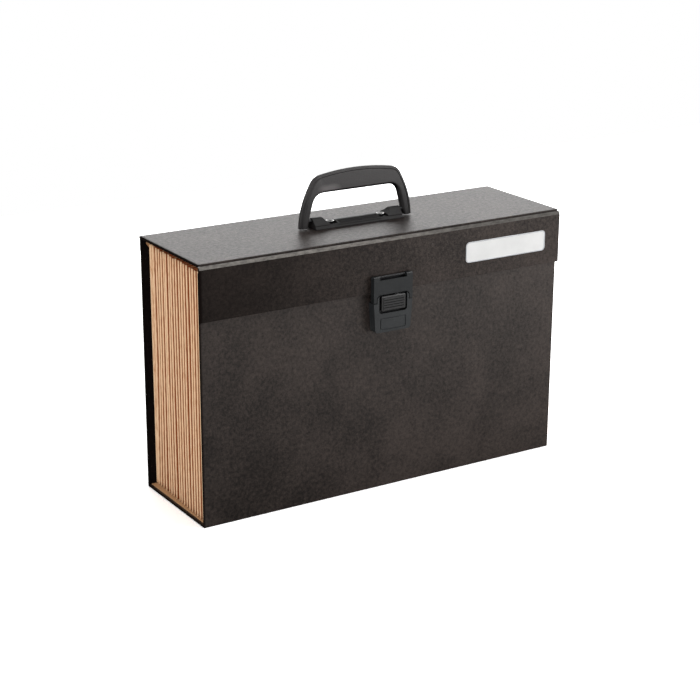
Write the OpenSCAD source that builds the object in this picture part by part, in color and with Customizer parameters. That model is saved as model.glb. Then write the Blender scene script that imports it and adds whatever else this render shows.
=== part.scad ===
/* [Case] */
// Length of the case along its front
case_len = 400; // [380:1:420]
// Depth over the front and rear boards
case_depth = 118; // [110:1:130]
// Height from the floor to the top of the lid
case_h = 252; // [245:1:270]
// Thickness of the covered boards
board_t = 2.2; // [1.8:0.1:2.6]
// How far the lid and flap stand past each end
lid_overhang = 0.9; // [0.4:0.1:2]
// Height of the flap that laps over the front
flap_drop = 53; // [50:1:56]
// Air between the flap and the front board
flap_gap = 1.0; // [0.8:0.1:1.4]
// Width of the crease between lid and flap
crease_w = 1.8; // [1.6:0.1:2.4]
// Distance from the lid's underside to the top of the front board
front_drop = 5.8; // [5:0.1:8]

/* [Bellows] */
// Number of pockets
pocket_count = 19; // [13:1:24]
// Thickness of the kraft paper
sheet_t = 0.4; // [0.3:0.05:0.5]
// Thickness of the lining strips and edge tapes
strip_t = 0.3; // [0.2:0.05:0.4]
// Depth of each fold of the gussets
fold_depth = 13; // [9:1:18]
// Inset of the first fold from the end of the case, at the rear
fold_inset_rear = 8; // [6:0.5:10]
// Inset of the last fold from the end of the case, at the front
fold_inset_front = 3.4; // [3:0.2:6]
// Distance from the lid's underside to the top of the folds
fold_drop = 5.8; // [5:0.1:8]
// Width of an index tab on a divider
tab_w = 36; // [20:1:50]
// Number of tab places across the case
tab_places = 6; // [4:1:8]

/* [Handle] */
// Width over the two feet of the bail
bail_w = 126.8; // [124:0.2:140]
// Height of the bail's crown above the lid
bail_rise = 54.5; // [50:0.5:60]
// Thickness of the bail, front to rear
bail_t = 7; // [6:0.5:9]
// Height of the bail's pivot above the lid
pivot_rise = 7.5; // [7.2:0.1:8.5]
// Length of the handle base along the lid
base_len = 98.6; // [92:0.2:100]
// Width of the handle base across the lid
base_w = 20; // [18:0.5:24]
// Radius of the pivot pins
bail_pin_r = 2; // [1.5:0.1:2.2]

/* [Lock] */
// Width of the lock at the seam between its two halves
lock_w = 43.4; // [42:0.2:46]
// Width of the lock at its lower end
lock_foot_w = 39.6; // [39:0.2:42]
// Height of the lock's lower end above the floor
lock_bottom_z = 161; // [155:0.5:163]
// Height of the seam between hasp plate and housing
seam_z = 190.5; // [190.3:0.1:191]
// Depth of the lock's front face in front of the flap
lock_proud = 6; // [6:0.1:7]
// Wall of the moulded lock parts
lock_wall = 1.6; // [1.4:0.1:1.7]
// Width of the push button
button_w = 26.4; // [22:0.2:27]
// Height of the push button
button_h = 14.6; // [13.5:0.1:14.8]
// Travel of the push button and of the catch
button_travel = 1.6; // [1.2:0.1:1.6]

/* [Label] */
// Width of the blank label
label_w = 96; // [60:1:110]
// Height of the blank label
label_h = 20.5; // [14:0.5:26]
// Middle of the label, right of the case's middle
label_x = 134.9; // [100:0.1:140]
// Height of the label's middle above the floor
label_z = 223.4; // [215:0.1:232]

/* [Hidden] */
$fn = 48;
eps = 0.01;
rear_y = case_depth / 2;
front_y = -rear_y;
rear_in_y = rear_y - board_t;
front_in_y = front_y + board_t;
half_len = case_len / 2;
half_lid = half_len + lid_overhang;
lid_under_z = case_h - board_t;
hinge_slack = 0.4;
rear_top_z = lid_under_z - hinge_slack;
front_top_z = lid_under_z - front_drop;
flap_in_y = front_y - flap_gap;
flap_out_y = flap_in_y - board_t;
flap_bottom_z = case_h - flap_drop;
flap_top_z = case_h - 0.6;
flap_bevel_y = 1.8;
flap_bevel_z = 2.5;
lid_front_y = flap_in_y + crease_w;
strip_w = 12;
strip_end_gap = 6;
bottom_gap = 0.1;
kraft = "#c99a6b";
black_paper = "#2b2725";
black_plastic = "#34373a";
steel = "#b8b8b8";

// Bellows: fold lines run from the rear end sheet to the front end sheet
sheet_floor_z = board_t + strip_t;
fold_rear_y = rear_in_y - sheet_t - strip_t - sheet_t / 2;
fold_pitch = 2 * fold_rear_y / pocket_count;
// Half the paper's thickness, measured along X across a slanting fold
fold_side = sheet_t / 2 * sqrt(1 + pow(2 * fold_depth / fold_pitch, 2));
fold_bottom_z = sheet_floor_z + sheet_t + 0.3;
fold_top_z = lid_under_z - fold_drop;
divider_end_gap = 2.2;
sheet_end_gap = 2.5;
tab_rise = 4;
tab_margin = 15;
tape_w = 8;
tape_cut_w = 3.2;
tape_cut_h = 4.4;
tape_cut_z = 240;

// Handle
pivot_z = case_h + pivot_rise;
bail_foot_z = case_h + 1.2;
bail_top_z = case_h + bail_rise;
bail_half = bail_w / 2;
foot_w = 9.8;
foot_chamfer = 1.2;
running_gap = 0.05;
base_half = base_len / 2;
skirt_foot_h = 0.8;
skirt_slope = 2.4;
skirt_top_z = case_h + 3.4;
bar_top_z = case_h + 6;
boss_top_z = case_h + 10.5;
boss_half_y = 8;
boss_r = 3.2;
bar_half = 24;
bar_half_y = 8.8;
bar_low_z = case_h + 2.6;
bar_crest_half_y = 2;
groove_count = 3;
groove_w = 0.8;
handle_rivet_x = 28.5;
eyelet_r = 1.9;
eyelet_bore_r = 1.1;
eyelet_head_r = 3.6;
washer_plate_t = 0.8;
washer_plate_half = 37;
washer_plate_half_y = 8;
edge_cut = 1.2;
grip_h = 21.1;
outer_top = bail_top_z - 10.5;
outer_in = bail_half - 21;

// Lock
lock_face_y = flap_out_y - lock_proud;
lock_skin_y = lock_face_y + lock_wall;
hasp_gap = 0.4;
hasp_bottom_z = seam_z + 0.1;
hasp_top_z = 216;
hasp_mid_top_z = 212.2;
hasp_pin_r = 0.8;
knuckle_r = 1.7;
bracket_knuckle_r = 1.2;
hasp_axis_y = flap_out_y - 1.9;
hasp_axis_z = hasp_top_z - knuckle_r;
ear_w = 6.6;
shoulder_z = seam_z - 0.6;
tab_half = 17.7;
tab_top_z = flap_bottom_z - 1.4;
arch_gap = 0.6;
button_z = 188.9;
pocket_margin = 2.5;
pocket_corner = 2.8;
pocket_low_gap = 2;
pocket_top_gap = 2;
pocket_back_gap = 0.5;
button_proud = 1.4;
button_t = 3.4;
stem_r = 1.8;
stem_gap = 1.8;
spring_front_y = lock_face_y - button_proud + button_t;
button_cut = 0.9;
ridge_count = 5;
ridge_half = 0.85;
ridge_deep = 0.5;
ridge_inset = 1.4;
catch_y = -64.3;
catch_t = 1.0;
catch_half = 18.9;
catch_arm_w = 1.8;
catch_bar_z = 178;
catch_bar_h = 3.5;
nose_half = 19.7;
nose_low_z = 187.9;
nose_top_z = 191.2;
hook_in = 18.4;
hook_w = 1.5;
hook_back_y = -61.4;
hook_lip_t = 1.2;
spring_r = 2.6;
spring_wire_r = 0.3;
spring_turns = 5;
spring_sides = 6;
spring_rings = 14;
lock_rivet_x = 9;
lock_rivet_low_z = 170;
lock_rivet_high_z = 192.5;
lock_rivet_r = 1.5;
hasp_rivet_x = 8;
hasp_rivet_z = 205.5;
hasp_rivet_r = 1.4;
back_plate_t = 0.8;
spring_back_y = front_y - back_plate_t;
stem_len = spring_back_y - spring_front_y - button_travel - stem_gap;
lock_washer_t = 0.5;
lock_washer_half = 14;
lock_washer_margin = 5;
outline_half = 14.4;
outline_low = 2.4;
outline_h = 11.6;
outline_w = 0.9;
outline_deep = 0.6;
outline_corner = 1.4;
slot_gap = 0.15;
arch_corner = 4.5;

// Label
label_t = 0.4;
label_corner = 4;
rim_w = 1.1;
rim_proud = 0.2;

function divider_name(i) = str("divider_", i < 10 ? "0" : "", i);

// A box from its low corner to its high corner
module block(low, high) {
    translate(low) cube(high - low);
}

// An outline in X and Z, drawn out along Y between two places
module along_y(from_y, to_y) {
    translate([0, to_y, 0]) rotate([90, 0, 0]) linear_extrude(to_y - from_y) children();
}

// An outline in Y and Z, drawn out along X between two places
module along_x(from_x, to_x) {
    translate([from_x, 0, 0]) rotate([90, 0, 90]) linear_extrude(to_x - from_x) children();
}

// A round bar along X
module bar_x(r, from_x, to_x, y, z) {
    translate([from_x, y, z]) rotate([0, 90, 0]) cylinder(r = r, h = to_x - from_x);
}

// A round bar along Y
module bar_y(r, from_y, to_y, x, z) {
    translate([x, to_y, z]) rotate([90, 0, 0]) cylinder(r = r, h = to_y - from_y);
}

// A rectangle with round corners, from its low corner
module round_rect(w, h, r) {
    translate([r, 0]) square([w - 2 * r, h]);
    translate([0, r]) square([w, h - 2 * r]);
    for (x = [r, w - r], y = [r, h - r]) translate([x, y]) circle(r);
}

// The same shape on both ends of the case
module both_ends() {
    children();
    mirror([1, 0, 0]) children();
}

// Case boards
module bottom_panel() {
    color(black_paper)
    block([-half_len, front_in_y + bottom_gap, 0], [half_len, rear_in_y, board_t]);
}

module rear_panel() {
    color(black_paper)
    block([-half_len, rear_in_y, 0], [half_len, rear_y, rear_top_z]);
}

module front_panel() {
    color(black_paper)
    difference() {
        block([-half_len, front_y, 0], [half_len, front_in_y, front_top_z]);
        for (x = [-lock_rivet_x, lock_rivet_x], z = [lock_rivet_low_z, lock_rivet_high_z])
            bar_y(lock_rivet_r + running_gap, front_y - 1, front_in_y + 1, x, z);
    }
}

module lid_panel() {
    color(black_paper)
    difference() {
        block([-half_lid, lid_front_y, lid_under_z], [half_lid, rear_y, case_h]);
        for (x = [-handle_rivet_x, handle_rivet_x])
            translate([x, 0, lid_under_z - 1]) cylinder(r = eyelet_r + running_gap, h = board_t + 2);
    }
}

// The flap's top edge slopes from the crease down to its face
module lid_flap() {
    color(black_paper)
    difference() {
        along_x(-half_lid, half_lid) polygon([
            [flap_in_y, flap_bottom_z],
            [flap_in_y, flap_top_z],
            [flap_out_y + flap_bevel_y, flap_top_z],
            [flap_out_y, flap_top_z - flap_bevel_z],
            [flap_out_y, flap_bottom_z]
        ]);
        for (x = [-hasp_rivet_x, hasp_rivet_x])
            bar_y(hasp_rivet_r + running_gap, flap_out_y - 1, flap_in_y + 1, x, hasp_rivet_z);
    }
}

// Paper that joins the boards at the creases
module lid_hinge_strip() {
    color(black_paper)
    block([-half_len, rear_y, lid_under_z - strip_w], [half_len, rear_y + strip_t, case_h - 0.2]);
}

module flap_hinge_strip() {
    color(black_paper)
    along_x(-half_len, half_len) polygon([
        [flap_in_y, lid_under_z],
        [flap_in_y, lid_under_z - strip_w],
        [flap_in_y + strip_t, lid_under_z - strip_w],
        [flap_in_y + strip_t, lid_under_z - strip_t],
        [flap_in_y + strip_w, lid_under_z - strip_t],
        [flap_in_y + strip_w, lid_under_z]
    ]);
}

module corner_strip() {
    along_x(-half_len + strip_end_gap, half_len - strip_end_gap) polygon([
        [rear_in_y, board_t],
        [rear_in_y, board_t + strip_w],
        [rear_in_y - strip_t, board_t + strip_w],
        [rear_in_y - strip_t, board_t + strip_t],
        [rear_in_y - strip_w, board_t + strip_t],
        [rear_in_y - strip_w, board_t]
    ]);
}

module rear_corner_strip() {
    color(black_paper) corner_strip();
}

module front_hinge_strip() {
    color(black_paper) mirror([0, 1, 0]) corner_strip();
}

// Black tapes beside the first fold, with their top corners cut off
module rear_edge_tapes() {
    color(black_paper)
    both_ends()
    along_y(rear_in_y - sheet_t - strip_t, rear_in_y - sheet_t) polygon([
        [half_len, sheet_floor_z],
        [half_len - tape_w, sheet_floor_z],
        [half_len - tape_w, tape_cut_z],
        [half_len - tape_w + tape_cut_w, tape_cut_z + tape_cut_h],
        [half_len - tape_w + tape_cut_w, rear_top_z],
        [half_len, rear_top_z]
    ]);
}

// Kraft sheets glued to the boards
module bottom_sheet() {
    color(kraft)
    block([-half_len + sheet_end_gap, front_in_y + strip_t + sheet_t, sheet_floor_z],
          [half_len - sheet_end_gap, rear_in_y - sheet_t - strip_t, sheet_floor_z + sheet_t]);
}

module rear_end_sheet() {
    color(kraft)
    block([-half_len + sheet_end_gap, rear_in_y - sheet_t, board_t + strip_w + eps],
          [half_len - sheet_end_gap, rear_in_y, rear_top_z]);
}

module front_end_sheet() {
    color(kraft)
    difference() {
        block([-half_len + sheet_end_gap, front_in_y + strip_t, fold_bottom_z],
              [half_len - sheet_end_gap, front_in_y + strip_t + sheet_t, fold_top_z]);
        for (x = [-lock_rivet_x, lock_rivet_x], z = [lock_rivet_low_z, lock_rivet_high_z])
            bar_y(lock_rivet_r + running_gap, front_in_y, front_in_y + 1, x, z);
    }
}

// Place of a fold line, counted in half pitches from the rear: even lines stand out, odd ones lie in
function fold_y(i) = fold_rear_y - i * fold_pitch / 2;
function fold_inset(i) =
    fold_inset_rear + (fold_inset_front - fold_inset_rear) * i / (2 * pocket_count);
function ridge_x(i) = half_len - fold_inset(i) - fold_side;
function fold_x(i) = ridge_x(i) - (i % 2) * fold_depth;

module gusset() {
    last = 2 * pocket_count;
    translate([0, 0, fold_bottom_z])
    linear_extrude(fold_top_z - fold_bottom_z)
    polygon(concat(
        [for (i = [0 : last]) [fold_x(i) + fold_side, fold_y(i)]],
        [for (i = [last : -1 : 0]) [fold_x(i) - fold_side, fold_y(i)]]
    ));
}

module right_gusset() {
    color(kraft) gusset();
}

module left_gusset() {
    color(kraft) mirror([1, 0, 0]) gusset();
}

// One divider with its index tab
module divider(i) {
    y = fold_y(2 * i);
    half = ridge_x(2 * i) - divider_end_gap;
    place = (i - 1) % tab_places;
    tab_x = (place - (tab_places - 1) / 2) * (2 * (half - tab_margin) - tab_w) / (tab_places - 1);
    color(kraft)
    along_y(y - sheet_t / 2, y + sheet_t / 2)
    union() {
        translate([-half, fold_bottom_z]) square([2 * half, fold_top_z - fold_bottom_z]);
        translate([tab_x - tab_w / 2, fold_top_z - eps]) square([tab_w, tab_rise]);
    }
}

// Handle base: skirt, grooved bar, end bosses with ramps, pin bores and rivet holes
module base_skirt() {
    along_x(-base_half, base_half) polygon([
        [-base_w / 2, case_h],
        [-base_w / 2, case_h + skirt_foot_h],
        [-base_w / 2 + skirt_slope, skirt_top_z],
        [base_w / 2 - skirt_slope, skirt_top_z],
        [base_w / 2, case_h + skirt_foot_h],
        [base_w / 2, case_h]
    ]);
}

// End boss: a ramp along the lid, under a round crest that holds the pin
module base_boss() {
    ramp_foot = base_half - 16.5;
    ramp_head = base_half - 9.5;
    crest_z = boss_top_z - boss_r;
    side = boss_r * sin(45);
    intersection() {
        along_y(-boss_half_y, boss_half_y) polygon([
            [ramp_foot, case_h + 1],
            [ramp_foot, skirt_top_z + 2],
            [ramp_foot + 3.2, skirt_top_z + 4],
            [ramp_head - 1.6, boss_top_z - 0.6],
            [ramp_head, boss_top_z],
            [base_half, boss_top_z],
            [base_half, case_h + 1]
        ]);
        union() {
            bar_x(boss_r, ramp_foot - 1, base_half + 1, 0, crest_z);
            along_x(ramp_foot - 1, base_half + 1) polygon([
                [-boss_half_y, case_h],
                [-boss_half_y, crest_z + 2 * side - boss_half_y],
                [-side, crest_z + side],
                [side, crest_z + side],
                [boss_half_y, crest_z + 2 * side - boss_half_y],
                [boss_half_y, case_h]
            ]);
        }
    }
}

// Bar between the rivets, with a sloping face on both sides of its crest
module base_bar() {
    along_x(-bar_half, bar_half) polygon([
        [-bar_half_y, case_h + 1],
        [-bar_half_y, bar_low_z],
        [-bar_crest_half_y, bar_top_z],
        [bar_crest_half_y, bar_top_z],
        [bar_half_y, bar_low_z],
        [bar_half_y, case_h + 1]
    ]);
}

// Lengthwise grooves in the bar's sloping faces
module base_grooves() {
    run = bar_half_y - bar_crest_half_y;
    for (i = [1 : groove_count], side = [-1, 1])
        let (share = i / (groove_count + 1))
        translate([0, side * (bar_half_y - share * run), bar_low_z + share * (bar_top_z - bar_low_z)])
        rotate([45, 0, 0])
        translate([-bar_half + 3, -groove_w / 2, -groove_w / 2])
        cube([2 * bar_half - 6, groove_w, groove_w]);
}

module handle_base() {
    color(black_plastic)
    difference() {
        union() {
            base_skirt();
            both_ends() base_boss();
            base_bar();
        }
        base_grooves();
        both_ends() bar_x(bail_pin_r + running_gap, base_half - 9, base_half + 1, 0, pivot_z);
        for (x = [-handle_rivet_x, handle_rivet_x])
            translate([x, 0, case_h - 1]) cylinder(r = eyelet_r + running_gap, h = 12);
        for (x = [-handle_rivet_x, handle_rivet_x])
            translate([x, 0, skirt_top_z]) cylinder(r = eyelet_head_r + 0.5, h = 8);
    }
}

// Outline of the bail: half of its outer edge and half of its inner edge, from foot to crown
function bezier(a, b, c, t) = (1 - t) * (1 - t) * a + 2 * t * (1 - t) * b + t * t * c;
function outer_side(z) =
    let (rise = z - bail_foot_z) bail_half - 0.0247 * rise - 0.0066 * rise * rise;
function crown_z(x) = bail_top_z - 0.00217 * x * x;
outer_half = concat(
    [for (i = [0 : 7]) let (z = bail_foot_z + i * (outer_top - bail_foot_z) / 7) [outer_side(z), z]],
    [for (i = [1 : 5]) bezier([outer_side(outer_top), outer_top], [bail_half - 15.6, bail_top_z - 5],
                              [outer_in, crown_z(outer_in)], i / 6)],
    [for (x = [outer_in : -6 : 0]) [x, crown_z(x)]]
);
inner_half = concat(
    [[bail_half - foot_w, bail_foot_z], [bail_half - 11.2, bail_foot_z + 8]],
    [[bail_half - 13.2, bail_foot_z + 16], [bail_half - 14.8, bail_foot_z + 22]],
    [for (i = [0 : 6]) bezier([bail_half - 15.3, bail_foot_z + 23.8], [bail_half - 17.8, bail_top_z - grip_h],
                              [bail_half - 26.9, bail_top_z - grip_h], i / 6)],
    [[0, bail_top_z - grip_h]]
);

module bail_outline() {
    polygon(concat(
        outer_half,
        [for (i = [len(outer_half) - 1 : -1 : 0]) [-outer_half[i][0], outer_half[i][1]]],
        [for (i = [0 : len(inner_half) - 2]) [-inner_half[i][0], inner_half[i][1]]],
        [for (i = [len(inner_half) - 1 : -1 : 0]) inner_half[i]]
    ));
}

module handle_bail() {
    half_t = bail_t / 2;
    color(black_plastic)
    difference() {
        intersection() {
            along_y(-half_t, half_t) bail_outline();
            along_x(-bail_half - 1, bail_half + 1) polygon([
                [-half_t + foot_chamfer, bail_foot_z],
                [half_t - foot_chamfer, bail_foot_z],
                [half_t, bail_foot_z + foot_chamfer],
                [half_t, bail_top_z - edge_cut],
                [half_t - edge_cut, bail_top_z],
                [-half_t + edge_cut, bail_top_z],
                [-half_t, bail_top_z - edge_cut],
                [-half_t, bail_foot_z + foot_chamfer]
            ]);
        }
        both_ends() bar_x(bail_pin_r + running_gap, bail_half - 16, bail_half - 3.8, 0, pivot_z);
    }
}

module handle_pins() {
    color(steel)
    both_ends() bar_x(bail_pin_r, base_half - 8.5, bail_half - 4, 0, pivot_z);
}

// Hollow rivets with a domed rim above and a rolled rim below
module handle_rivets() {
    under = lid_under_z - washer_plate_t;
    color(steel)
    for (x = [-handle_rivet_x, handle_rivet_x])
        translate([x, 0, 0])
        rotate_extrude() polygon([
            [eyelet_bore_r, under - 0.6],
            [eyelet_head_r - 0.6, under - 0.6],
            [eyelet_head_r - 0.6, under],
            [eyelet_r, under],
            [eyelet_r, skirt_top_z],
            [eyelet_head_r, skirt_top_z],
            [eyelet_head_r, skirt_top_z + 0.5],
            [eyelet_head_r - 1, skirt_top_z + 1.1],
            [eyelet_bore_r + 0.6, skirt_top_z + 1.1],
            [eyelet_bore_r, skirt_top_z + 0.5]
        ]);
}

module handle_washer_plate() {
    color(steel)
    difference() {
        block([-washer_plate_half, -washer_plate_half_y, lid_under_z - washer_plate_t],
              [washer_plate_half, washer_plate_half_y, lid_under_z]);
        for (x = [-handle_rivet_x, handle_rivet_x])
            translate([x, 0, lid_under_z - 2]) cylinder(r = eyelet_r + running_gap, h = 4);
    }
}

// Hasp: bracket on the flap, pin, and the plate that closes over the housing
module hasp_bracket() {
    half = lock_w / 2 - ear_w - 0.6;
    color(steel)
    difference() {
        union() {
            block([-half, flap_out_y - 1, hasp_rivet_z - 4.5], [half, flap_out_y, hasp_axis_z]);
            block([-half, hasp_axis_y, hasp_axis_z - bracket_knuckle_r], [half, flap_out_y, hasp_axis_z]);
            bar_x(bracket_knuckle_r, -half, half, hasp_axis_y, hasp_axis_z);
        }
        bar_x(hasp_pin_r, -half - 1, half + 1, hasp_axis_y, hasp_axis_z);
        for (x = [-hasp_rivet_x, hasp_rivet_x])
            bar_y(hasp_rivet_r + running_gap, flap_out_y - 2, flap_out_y + 1, x, hasp_rivet_z);
    }
}

// A rivet along Y: head in front, shank, and tail behind
module rivet_y(shank_r, head_r, head_y, front, back, x, z) {
    bar_y(head_r, head_y, front, x, z);
    bar_y(shank_r, front - eps, back + eps, x, z);
    bar_y(head_r - 0.3, back, back + 0.5, x, z);
}

module hasp_rivets() {
    front = flap_out_y - 1;
    color(steel)
    for (x = [-hasp_rivet_x, hasp_rivet_x])
        rivet_y(hasp_rivet_r, 2.4, front - 0.8, front, flap_in_y, x, hasp_rivet_z);
}

module hasp_pin() {
    color(steel)
    bar_x(hasp_pin_r, -lock_w / 2 + 0.5, lock_w / 2 - 0.5, hasp_axis_y, hasp_axis_z);
}

// The arch that clears the housing's tab
module arch_outline(grow) {
    half = tab_half + grow;
    top = tab_top_z + grow;
    low = shoulder_z - 5;
    inner = half - arch_corner;
    translate([-half, low]) square([2 * half, top - arch_corner - low]);
    translate([-inner, low]) square([2 * inner, top - low]);
    for (x = [-inner, inner]) translate([x, top - arch_corner]) circle(arch_corner);
}

module hasp_ear() {
    inner = lock_w / 2 - ear_w;
    block([inner, lock_skin_y - eps, hasp_axis_z - knuckle_r], [lock_w / 2, hasp_axis_y, hasp_top_z]);
    bar_x(knuckle_r, inner, lock_w / 2, hasp_axis_y, hasp_axis_z);
}

module hasp_hook() {
    block([hook_in, lock_skin_y - eps, seam_z + 2.6], [hook_in + hook_w, hook_back_y, seam_z + 5.6]);
    block([hook_in, hook_back_y - hook_lip_t, seam_z + 1.3], [hook_in + hook_w, hook_back_y, seam_z + 3]);
}

module hasp_plate() {
    half = lock_w / 2;
    side_back_y = flap_out_y - hasp_gap;
    edge = 1;
    color(black_plastic)
    difference() {
        union() {
            along_y(lock_face_y, lock_skin_y) difference() {
                union() {
                    translate([-half, hasp_bottom_z]) square([2 * half, hasp_mid_top_z - hasp_bottom_z]);
                    for (x = [-half, half - ear_w])
                        translate([x, hasp_mid_top_z - 1]) square([ear_w, hasp_top_z - hasp_mid_top_z + 1]);
                }
                arch_outline(arch_gap);
            }
            both_ends() block([half - lock_wall, lock_skin_y - eps, hasp_bottom_z],
                              [half, side_back_y, hasp_axis_z]);
            both_ends() hasp_ear();
            both_ends() hasp_hook();
        }
        bar_x(hasp_pin_r + running_gap, -half - 1, half + 1, hasp_axis_y, hasp_axis_z);
        along_x(-half - 1, half + 1) polygon([
            [lock_face_y - 1, hasp_top_z + 1],
            [lock_face_y - 1, hasp_top_z - edge - 1],
            [lock_face_y, hasp_top_z - edge],
            [lock_face_y + edge, hasp_top_z],
            [lock_face_y + edge + 1, hasp_top_z + 1]
        ]);
    }
}

// Lock housing: outline of its front, drawn in by a wall
module housing_outline(inset) {
    head = lock_w / 2 - inset;
    foot = lock_foot_w / 2 - inset;
    low = lock_bottom_z + inset;
    polygon([
        [-foot + 2, low],
        [foot - 2, low],
        [foot, low + 2],
        [head, shoulder_z - inset],
        [-head, shoulder_z - inset],
        [-foot, low + 2]
    ]);
}

module tab_outline(inset) {
    intersection() {
        arch_outline(-inset);
        translate([-tab_half, shoulder_z - 4]) square([2 * tab_half, 20]);
    }
}

module lock_housing() {
    pocket_w = button_w + 2 * pocket_margin;
    pocket_low = button_z - button_h / 2 - pocket_low_gap;
    pocket_h = button_h + pocket_low_gap + pocket_top_gap;
    pocket_back_y = spring_front_y + button_travel + pocket_back_gap;
    groove_half = outline_half - outline_w;
    color(black_plastic)
    difference() {
        along_y(lock_face_y, front_y) union() {
            housing_outline(0);
            tab_outline(0);
        }
        along_y(lock_skin_y, front_y + 1) union() {
            housing_outline(lock_wall);
            tab_outline(lock_wall);
        }
        along_y(lock_face_y - 1, pocket_back_y)
            translate([-pocket_w / 2, pocket_low]) round_rect(pocket_w, pocket_h, pocket_corner);
        along_y(lock_face_y - 1, lock_face_y + outline_deep) difference() {
            translate([-outline_half, lock_bottom_z + outline_low])
                round_rect(2 * outline_half, outline_h, outline_corner);
            translate([-groove_half, lock_bottom_z + outline_low + outline_w])
                round_rect(2 * groove_half, outline_h - 2 * outline_w, outline_corner - outline_w);
        }
        both_ends() block([nose_half - catch_arm_w - slot_gap, catch_y - 0.3, shoulder_z - 3],
                          [nose_half + slot_gap, catch_y + catch_t + 0.3, shoulder_z + 1]);
    }
}

module lock_back_plate() {
    inset = lock_wall + 0.1;
    color(steel)
    difference() {
        along_y(front_y - back_plate_t, front_y) union() {
            housing_outline(inset);
            tab_outline(inset);
        }
        for (x = [-lock_rivet_x, lock_rivet_x], z = [lock_rivet_low_z, lock_rivet_high_z])
            bar_y(lock_rivet_r + running_gap, front_y - 2, front_y + 1, x, z);
    }
}

// Push button: a cap with ridges across its face and a stem for the spring
module lock_button() {
    face_y = lock_face_y - button_proud;
    cap_y = face_y + ridge_deep;
    low = button_z - button_h / 2;
    high = button_z + button_h / 2;
    ridge_step = button_h / (ridge_count + 1);
    color(black_plastic)
    union() {
        intersection() {
            along_y(cap_y, spring_front_y)
                translate([-button_w / 2, low]) round_rect(button_w, button_h, 1);
            along_x(-button_w / 2 - 1, button_w / 2 + 1) polygon([
                [cap_y, low + button_cut],
                [cap_y + button_cut, low],
                [cap_y + button_cut, low - 1],
                [spring_front_y + 1, low - 1],
                [spring_front_y + 1, high + 1],
                [cap_y + button_cut, high + 1],
                [cap_y + button_cut, high],
                [cap_y, high - button_cut]
            ]);
        }
        for (i = [1 : ridge_count]) let (z = low + i * ridge_step)
            block([-button_w / 2 + ridge_inset, face_y, z - ridge_half],
                  [button_w / 2 - ridge_inset, cap_y + eps, z + ridge_half]);
        bar_y(stem_r, spring_front_y - eps, spring_front_y + stem_len, 0, button_z);
    }
}

// Helical compression spring between the button and the back plate
function spring_ring(i) =
    let (last = spring_turns * spring_rings,
         angle = i * 360 / spring_rings,
         run = spring_back_y - spring_front_y - 2 * spring_wire_r - 0.02,
         centre_y = spring_front_y + spring_wire_r + 0.01 + run * i / last)
    [for (side = [0 : spring_sides - 1])
        let (turn = side * 360 / spring_sides, r = spring_r + spring_wire_r * cos(turn))
        [r * cos(angle), centre_y + spring_wire_r * sin(turn), button_z + r * sin(angle)]];

module button_spring() {
    last = spring_turns * spring_rings;
    points = [for (i = [0 : last]) each spring_ring(i)];
    function corner(i, side) = i * spring_sides + side % spring_sides;
    walls = [for (i = [0 : last - 1], side = [0 : spring_sides - 1]) each [
        [corner(i, side), corner(i + 1, side), corner(i + 1, side + 1)],
        [corner(i, side), corner(i + 1, side + 1), corner(i, side + 1)]
    ]];
    start_cap = [for (side = [1 : spring_sides - 2]) [0, side, side + 1]];
    end_cap = [for (side = [1 : spring_sides - 2])
        [corner(last, 0), corner(last, side + 1), corner(last, side)]];
    color(steel) polyhedron(points, concat(walls, start_cap, end_cap));
}

// Sliding catch: a bar below the button with two arms that end in noses
module lock_catch() {
    color(steel)
    along_y(catch_y, catch_y + catch_t) union() {
        translate([-catch_half, catch_bar_z]) square([2 * catch_half, catch_bar_h]);
        for (x = [-catch_half, catch_half - catch_arm_w])
            translate([x, catch_bar_z]) square([catch_arm_w, nose_low_z + 0.2 - catch_bar_z]);
        for (x = [-nose_half, nose_half - catch_arm_w])
            translate([x, nose_low_z]) square([catch_arm_w, nose_top_z - nose_low_z]);
        translate([-5, catch_bar_z]) square([10, catch_bar_h + 3]);
    }
}

module lock_rivets() {
    back = front_in_y + strip_t + sheet_t + lock_washer_t;
    color(steel)
    for (x = [-lock_rivet_x, lock_rivet_x], z = [lock_rivet_low_z, lock_rivet_high_z])
        rivet_y(lock_rivet_r, 2.6, spring_back_y - 0.8, spring_back_y, back, x, z);
}

module lock_washer_plate() {
    front = front_in_y + strip_t + sheet_t;
    color(steel)
    difference() {
        block([-lock_washer_half, front, lock_rivet_low_z - lock_washer_margin],
              [lock_washer_half, front + lock_washer_t, lock_rivet_high_z + lock_washer_margin]);
        for (x = [-lock_rivet_x, lock_rivet_x], z = [lock_rivet_low_z, lock_rivet_high_z])
            bar_y(lock_rivet_r + running_gap, front - 1, front + 2, x, z);
    }
}

// Blank label with a metal rim
module label_plate() {
    color("white")
    along_y(flap_out_y - label_t, flap_out_y)
        translate([label_x - label_w / 2 + rim_w, label_z - label_h / 2 + rim_w])
        round_rect(label_w - 2 * rim_w, label_h - 2 * rim_w, label_corner - rim_w);
}

module label_rim() {
    color("silver")
    along_y(flap_out_y - label_t - rim_proud, flap_out_y) difference() {
        translate([label_x - label_w / 2, label_z - label_h / 2]) round_rect(label_w, label_h, label_corner);
        translate([label_x - label_w / 2 + rim_w, label_z - label_h / 2 + rim_w])
            round_rect(label_w - 2 * rim_w, label_h - 2 * rim_w, label_corner - rim_w);
    }
}

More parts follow.
